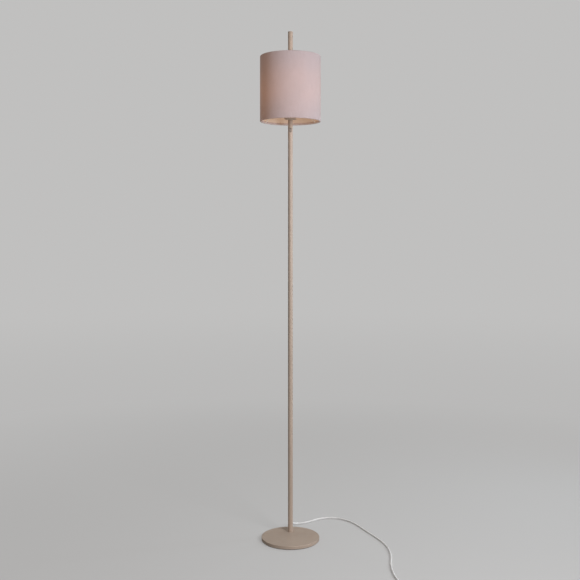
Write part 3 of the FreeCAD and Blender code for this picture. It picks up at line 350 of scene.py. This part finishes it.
def painted_metal(name, colour, **more):
    """Fine matt paint: an orange-peel surface, faint clouds of tone and a little dust on what faces up."""
    made = Nodes(name)
    clouds = made.ramp(made.noise(9, detail=5), *CRISP)
    painted = made.mix(clouds, scaled(colour, 1 - PAINT_VARIES), scaled(colour, 1 + PAINT_VARIES))
    specks = made.ramp(made.noise(1400, detail=1), 0.66, 0.74, 0.0, SPECK_SHARE)
    speckled = made.mix(specks, painted, scaled(colour, SPECK_PALER))
    upward = made.axes(made.tree.nodes.new("ShaderNodeNewGeometry").outputs["Normal"])[2]
    patches = made.ramp(made.noise(60), 0.4, 0.7, 0.0, DUST_SHARE)
    settled = made.product(made.ramp(upward, *FACES_UP), patches)
    peel = made.bump(made.noise(620, detail=2), PEEL_DEPTH, 0.7)
    made.principled(
        Base_Color=made.mix(settled, speckled, DUST),
        Roughness=made.ramp(made.noise(25, detail=4), *WIDE, *PAINT_ROUGHNESS),
        Normal=made.bump(made.noise(2600, detail=1), PAINT_GRAIN_DEPTH, 0.5, under=peel),
        IOR=1.45,
        **more,
    )
    return made.material


SHADE_RADIUS = 0.1
SHADE_LOW, SHADE_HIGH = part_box("shade_cover")[0].z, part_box("shade_cover")[1].z
THREAD = 0.0007
THREAD_UNDER = 0.35
THREAD_RUN = 30
SLUB = 0.10
SLUB_RISE = 0.35
# painted shade: the share of the colour left in the weave's hollows
HOLLOW_PAINTED_SHADE = 0.74
HEM_FOLD = (SHADE_RADIUS - 0.0015, SHADE_RADIUS - 0.0035)
WEAVE_DEPTH = 0.00012
LINING_DEPTH = 0.00002
LINING_VARIES = 0.04
# Painted bulb light: emission on the fabric, lining, hem, fitter wires and cup stands in for the bulb's
# light on them.
GLOW_HEIGHT = 1.478
GLOW_SPREAD = 0.068
FABRIC_PAINTED_GLOW = (0.08, 0.18)
FABRIC_PAINTED_GLOW_COLOUR = (1.0, 0.38, 0.11)
LINING_PAINTED_GLOW = (0.232, 0.32)
LINING_PAINTED_GLOW_COLOUR = (1.0, 0.655, 0.455)
HEM_PAINTED_GLOW = 0.17
WIRE_PAINTED_GLOW = 0.16
CUP_PAINTED_GLOW = 0.065
BULB_LEVEL = 0.62
BULB_COLOUR = (1.0, 0.80, 0.60)
BULB_LIT_FROM, BULB_LIT_FULL = 1.476, 1.512
BULB_LEAST = 0.55


def woven(made, colour):
    """Plain weave on the drum: colour and height of threads that pass over and under each other, with
    painted shade darkening the hollows between the threads.
    """
    x, y, z = made.axes()
    around = made.product(made.math("ARCTAN2", y, x), SHADE_RADIUS)
    warp = made.math("SINE", made.product(around, math.pi / THREAD))
    weft = made.math("SINE", made.product(z, math.pi / THREAD))
    over = made.product(made.math("SIGN", warp), made.math("SIGN", weft))
    warp_rise = made.product(made.math("ABSOLUTE", warp), made.ramp(over, -1.0, 1.0, THREAD_UNDER, 1.0))
    weft_rise = made.product(made.math("ABSOLUTE", weft), made.ramp(over, -1.0, 1.0, 1.0, THREAD_UNDER))
    height = made.math("MAXIMUM", warp_rise, weft_rise)
    place = made.joined(around, z, 0.0)
    along_warp = made.noise(1.0, made.stretched(1 / THREAD, THREAD_RUN, 1, place), detail=2)
    along_weft = made.noise(1.0, made.stretched(THREAD_RUN, 1 / THREAD, 1, place), detail=2)
    threads = made.math("ADD", along_warp, along_weft)
    shaded = made.mix(made.ramp(threads, 0.75, 1.25), scaled(colour, 1 - SLUB), scaled(colour, 1 + SLUB))
    # painted shade in the hollows where the threads pass under
    shaded = made.mix(made.ramp(height, 0.15, 0.7), scaled(colour, HOLLOW_PAINTED_SHADE), shaded)
    height = made.math("ADD", height, made.ramp(threads, 0.7, 1.3, 0.0, SLUB_RISE))
    return shaded, height, z, place


def by_bulb(made, z):
    """Strength of the painted bulb glow: one at the height of the bulb, and less in a bell above and below
    it.
    """
    away = made.product(made.math("SUBTRACT", z, GLOW_HEIGHT), 1 / GLOW_SPREAD)
    return made.math("POWER", math.e, made.product(made.product(away, away), -0.5))


def shade_fabric(name, colour):
    """Woven cotton with a painted glow: emission round the height of the bulb stands in for the bulb's light
    shining through, and the turned-in hem carries painted bulb light like the lining.
    """
    made = Nodes(name)
    shaded, height, z, place = woven(made, colour)
    inside = made.ramp(made.from_axis(), *HEM_FOLD)
    cloudy = made.ramp(made.noise(14, place, detail=2), *WIDE, 0.92, 1.08)
    # painted glow of the bulb's light through the fabric, strongest at the bulb's height
    glow = made.product(made.ramp(by_bulb(made, z), 0.0, 1.0, *FABRIC_PAINTED_GLOW), cloudy)
    made.principled(
        Base_Color=shaded,
        Roughness=0.92,
        Sheen_Weight=0.35,
        Sheen_Roughness=0.45,
        Specular_IOR_Level=0.2,
        Normal=made.bump(height, WEAVE_DEPTH, 0.8),
        # painted bulb light: warm emission outside, lining-coloured emission on the turned-in hem
        Emission_Color=made.mix(inside, FABRIC_PAINTED_GLOW_COLOUR, LINING_PAINTED_GLOW_COLOUR),
        Emission_Strength=made.math("MAXIMUM", glow, made.product(inside, HEM_PAINTED_GLOW)),
    )
    return made.material


def shade_lining(name, colour):
    """Smooth plastic-film lining, which shows the weave behind it faintly, with a painted glow near the bulb
    that stands in for the bulb's light on it.
    """
    made = Nodes(name)
    _, height, z, place = woven(made, colour)
    clouds = made.ramp(made.noise(18, place, detail=3), *CRISP)
    made.principled(
        Base_Color=made.mix(clouds, scaled(colour, 1 - LINING_VARIES), scaled(colour, 1 + LINING_VARIES)),
        Roughness=made.ramp(made.noise(50, place), *WIDE, 0.46, 0.58),
        Normal=made.bump(height, LINING_DEPTH, 0.5),
        # painted bulb light on the lining
        Emission_Color=(*LINING_PAINTED_GLOW_COLOUR, 1),
        Emission_Strength=made.ramp(by_bulb(made, z), 0.0, 1.0, *LINING_PAINTED_GLOW),
    )
    return made.material


def opal_bulb(name, colour):
    """Opal plastic globe, dimly lit and warmest at its middle."""
    made = Nodes(name)
    lit = made.ramp(made.axes()[2], BULB_LIT_FROM, BULB_LIT_FULL, BULB_LEAST, 1.0, smooth=True)
    mottled = made.ramp(made.noise(120, detail=2), *WIDE, 0.97, 1.03)
    made.principled(
        Base_Color=made.mix(made.noise(300), scaled(colour, 0.98), colour),
        Roughness=made.ramp(made.noise(200), *WIDE, 0.30, 0.38),
        Normal=made.bump(made.noise(1500, detail=1), 0.00001, 0.4),
        Subsurface_Weight=0.2,
        Subsurface_Scale=0.01,
        Emission_Color=(*BULB_COLOUR, 1),
        Emission_Strength=made.product(made.product(lit, mottled), BULB_LEVEL),
    )
    return made.material


PAINT = (0.505, 0.400, 0.322)
materials = {
    "putty_paint": painted_metal("putty_paint", PAINT),
    # copy of the putty paint with painted bulb light: a weak warm emission
    "putty_paint_painted_glow": painted_metal(
        "putty_paint_painted_glow",
        PAINT,
        Emission_Color=(*LINING_PAINTED_GLOW_COLOUR, 1),
        Emission_Strength=CUP_PAINTED_GLOW,
    ),
    "plated_steel": plain_finish("plated_steel", (0.60, 0.60, 0.59), 0.32, metallic=1.0, grain=2200),
    "base_pad": plain_finish(
        "base_pad", (0.030, 0.030, 0.031), 0.85, vary=0.18, grain=1500, depth=0.0002
    ),
    "white_cord": plain_finish(
        "white_cord", (0.92, 0.91, 0.90), 0.40, vary=0.03, grain=1800, Coat_Weight=0.1
    ),
    "white_moulding": plain_finish("white_moulding", (0.76, 0.75, 0.73), 0.34, vary=0.025, grain=1400),
    "switch_plastic": plain_finish("switch_plastic", (0.34, 0.28, 0.24), 0.38, vary=0.04, grain=2400),
    "brown_core": plain_finish("brown_core", (0.20, 0.09, 0.04), 0.45),
    "blue_core": plain_finish("blue_core", (0.05, 0.17, 0.46), 0.45),
    "brass": plain_finish("brass", (0.76, 0.58, 0.27), 0.30, metallic=1.0, vary=0.09),
    "holder_plastic": plain_finish("holder_plastic", (0.77, 0.75, 0.71), 0.42, vary=0.03, grain=1300),
    "shade_fabric": shade_fabric("shade_fabric", (0.465, 0.43, 0.465)),
    "shade_lining": shade_lining("shade_lining", (0.45, 0.385, 0.32)),
    # the fitter's wires carry painted bulb light: a weak warm emission
    "frame_wire": plain_finish(
        "frame_wire",
        (0.72, 0.71, 0.68),
        0.36,
        vary=0.04,
        grain=1600,
        Emission_Color=(*LINING_PAINTED_GLOW_COLOUR, 1),
        Emission_Strength=WIRE_PAINTED_GLOW,
    ),
    "cap_metal": plain_finish("cap_metal", (0.70, 0.69, 0.66), 0.24, metallic=1.0, grain=1800),
    "black_glass": plain_finish("black_glass", (0.012, 0.012, 0.014), 0.08, Coat_Weight=0.5),
    "bulb_neck": plain_finish("bulb_neck", (0.84, 0.83, 0.81), 0.35, vary=0.02, grain=1500),
    "bulb_opal": opal_bulb("bulb_opal", (0.90, 0.87, 0.82)),
    "light_board": plain_finish("light_board", (0.74, 0.74, 0.73), 0.38, metallic=1.0),
    "tie_strap": plain_finish("tie_strap", (0.035, 0.035, 0.037), 0.75, vary=0.25, depth=0.0002),
    "printed_mark": plain_finish("printed_mark", (0.74, 0.71, 0.66), 0.55, vary=0.02),
}


FLOOR_PALES = (0.4, 2.6)
FLOOR_PALE_SHARE = 0.55
FLOOR_RUNS_OUT = (0.8, 9.0)


def floor_finish(name):
    """Matt pale floor. What the camera sees of it is paler, and runs into the backdrop's colour far away."""
    made = Nodes(name)
    away = made.from_axis()
    camera_ray = made.tree.nodes.new("ShaderNodeLightPath").outputs["Is Camera Ray"]
    clouds = made.noise(1.3, detail=4)
    seen_colour = made.mix(clouds, scaled(FLOOR_SEEN, 0.99), FLOOR_SEEN)
    made.principled(
        Base_Color=made.mix(camera_ray, FLOOR_COLOUR, seen_colour),
        Roughness=made.ramp(clouds, *WIDE, 0.82, 0.90),
        Specular_IOR_Level=0.15,
    )
    pale = made.tree.nodes.new("ShaderNodeEmission")
    far = made.ramp(away, *FLOOR_RUNS_OUT, smooth=True)
    made.feed(pale.inputs["Color"], made.mix(far, NEAR_GLOW, BACKDROP))
    share = made.product(camera_ray, made.ramp(away, *FLOOR_PALES, FLOOR_PALE_SHARE, 1.0, smooth=True))
    both = made.tree.nodes.new("ShaderNodeMixShader")
    for socket, output in zip(both.inputs, (share, made.shader.outputs[0], pale.outputs[0])):
        made.feed(socket, output)
    made.feed(made.surface, both.outputs[0])
    return made.material


floor.data.materials.append(floor_finish("studio_floor"))
# the holder cup takes the copy of the paint with painted bulb light on it
LIT_BY_BULB = {"holder_cup": "putty_paint_painted_glow"}
for row in frame["record"]["subparts"]:
    node = frame["nodes"][row["node"]]
    node.data.materials.clear()
    node.data.materials.append(materials[LIT_BY_BULB.get(row["node"], row["material_slot"])])
cord_data.materials.append(materials["white_cord"])

# ---------------------------------------------------------------- pieces of looks only


def mesh_piece(name, vertices, faces, body, material, smooth=False):
    mesh = bpy.data.meshes.new(name)
    mesh.from_pydata(vertices, [], faces)
    mesh.validate()
    mesh.polygons.foreach_set("use_smooth", [smooth] * len(mesh.polygons))
    mesh.materials.append(materials[material])
    made = bpy.data.objects.new(name, mesh)
    scene.collection.objects.link(made)
    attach(made, body)
    return made


def grid_faces(rows, columns, closed=False):
    """Quads between rows of vertices. In a closed grid each row's last vertex joins its first."""
    return [
        (
            row * columns + step,
            row * columns + (step + 1) % columns,
            (row + 1) * columns + (step + 1) % columns,
            (row + 1) * columns + step,
        )
        for row in range(rows - 1)
        for step in range(columns if closed else columns - 1)
    ]


SEAM_WIDTH = 0.011
SEAM_RISE = 0.0005
SEAM_SINK = 0.0002
SEAM_TAPER = 3.0
SEAM_WANDER = 0.00012
SEAM_WANDER_STEP = 0.9
SEAM_INSET = 0.0022
SEAM_AZIMUTH = math.radians(90)
SEAM_ACROSS = 9
SEAM_UP = 40


def back_seam():
    """Overlap where the two ends of the fabric meet, up the back of the drum behind the pole."""
    low, high = SHADE_LOW + SEAM_INSET, SHADE_HIGH - SEAM_INSET
    vertices = []
    for up in range(SEAM_UP + 1):
        height = low + (high - low) * up / SEAM_UP
        for across in range(SEAM_ACROSS):
            edge = across in (0, SEAM_ACROSS - 1)
            share = across / (SEAM_ACROSS - 1)
            wander = SEAM_WANDER * math.sin(up * SEAM_WANDER_STEP + across) if edge else 0.0
            angle = SEAM_AZIMUTH + ((share - 0.5) * SEAM_WIDTH + wander) / SHADE_RADIUS
            rise = -SEAM_SINK if edge else SEAM_RISE * min(1.0, SEAM_TAPER * (1 - share))
            reach = SHADE_RADIUS + rise
            vertices.append((reach * math.cos(angle), reach * math.sin(angle), height))
    faces = grid_faces(SEAM_UP + 1, SEAM_ACROSS)
    mesh_piece("shade_back_seam", vertices, faces, "shade", "shade_fabric", smooth=True)


back_seam()

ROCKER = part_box("switch_rocker")
DISH_VALLEY = -0.00075
MARK_UP = 0.00185
MARK_WIDTH = 0.00022
MARK_RISE = 0.00004
MARK_SIZE = 0.0011
LINE_STEPS = 4
RING_STEPS = 24
RAY_START = 0.01


def rocker_front(x, z):
    """Depth of the rocker's dished front there, in the rocker's own upright frame: a ray onto its mesh."""
    node = frame["nodes"]["switch_rocker"]
    hit, place, _, _ = node.ray_cast((x, ROCKER[0].y - RAY_START, z), (0, 1, 0))
    return place.y if hit else ROCKER[0].y


def raised_strip(name, outline_points, closed):
    """A narrow printed line on the rocker's front, along points given as x and z."""
    vertices = []
    for index, (x, z) in enumerate(outline_points):
        after = outline_points[(index + 1) % len(outline_points)]
        before = outline_points[index - 1]
        if not closed:
            after = outline_points[min(index + 1, len(outline_points) - 1)]
            before = outline_points[max(index - 1, 0)]
        along = Vector((after[0] - before[0], after[1] - before[1])).normalized()
        for side in (-0.5, 0.5):
            place = (x - along.y * side * MARK_WIDTH, z + along.x * side * MARK_WIDTH)
            vertices.append((place[0], rocker_front(*place) - MARK_RISE, place[1]))
    count = len(outline_points)
    faces = [
        (2 * step, 2 * ((step + 1) % count), 2 * ((step + 1) % count) + 1, 2 * step + 1)
        for step in range(count if closed else count - 1)
    ]
    mesh_piece(name, vertices, faces, "switch_rocker", "printed_mark")


def rocker_marks():
    """The line for on above the valley of the dish and the ring for off below it."""
    valley = (ROCKER[0].z + ROCKER[1].z) / 2 + DISH_VALLEY
    line = [
        (0.0, valley + MARK_UP + MARK_SIZE * (step / LINE_STEPS - 0.5)) for step in range(LINE_STEPS + 1)
    ]
    raised_strip("rocker_mark_on", line, closed=False)
    ring = [
        (
            MARK_SIZE / 2 * math.cos(2 * math.pi * step / RING_STEPS),
            valley - MARK_UP + MARK_SIZE / 2 * math.sin(2 * math.pi * step / RING_STEPS),
        )
        for step in range(RING_STEPS)
    ]
    raised_strip("rocker_mark_off", ring, closed=True)


rocker_marks()

CAP_THREAD_PITCH = 0.00363
CAP_THREAD_DEPTH = 0.0005
CAP_SHOULDER = 0.0021
CAP_RIM = 0.0006
CAP_FOOT_RADIUS = 0.0106
CAP_STEPS = 72
CAP_RINGS = 90
THREAD_FADE = 7


def bulb_cap_thread():
    """Rolled screw thread of the bulb's cap, in the place of the plain cap."""
    low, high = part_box("bulb_cap")
    radius, root = high.x, high.x - CAP_THREAD_DEPTH
    start, end = low.z + CAP_SHOULDER, high.z - CAP_RIM
    rings = [(low.z, CAP_FOOT_RADIUS, 0.0), (start, root, 0.0)]
    for ring in range(1, CAP_RINGS):
        share = ring / CAP_RINGS
        fade = min(1.0, THREAD_FADE * share, THREAD_FADE * (1 - share))
        rings.append((start + (end - start) * share, root, (radius - root) * fade))
    rings += [(end, root, 0.0), (end, radius, 0.0), (high.z, radius, 0.0), (high.z, root, 0.0)]
    vertices = []
    for height, inner, rise in rings:
        for step in range(CAP_STEPS):
            turn = step / CAP_STEPS
            wave = 0.5 + 0.5 * math.cos(2 * math.pi * ((height - start) / CAP_THREAD_PITCH - turn))
            reach, angle = inner + rise * wave, 2 * math.pi * turn
            vertices.append((reach * math.cos(angle), reach * math.sin(angle), height))
    faces = grid_faces(len(rings), CAP_STEPS, closed=True)
    made = mesh_piece("bulb_cap_thread", vertices, faces, "bulb", "cap_metal", smooth=True)
    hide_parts("bulb_cap")


bulb_cap_thread()
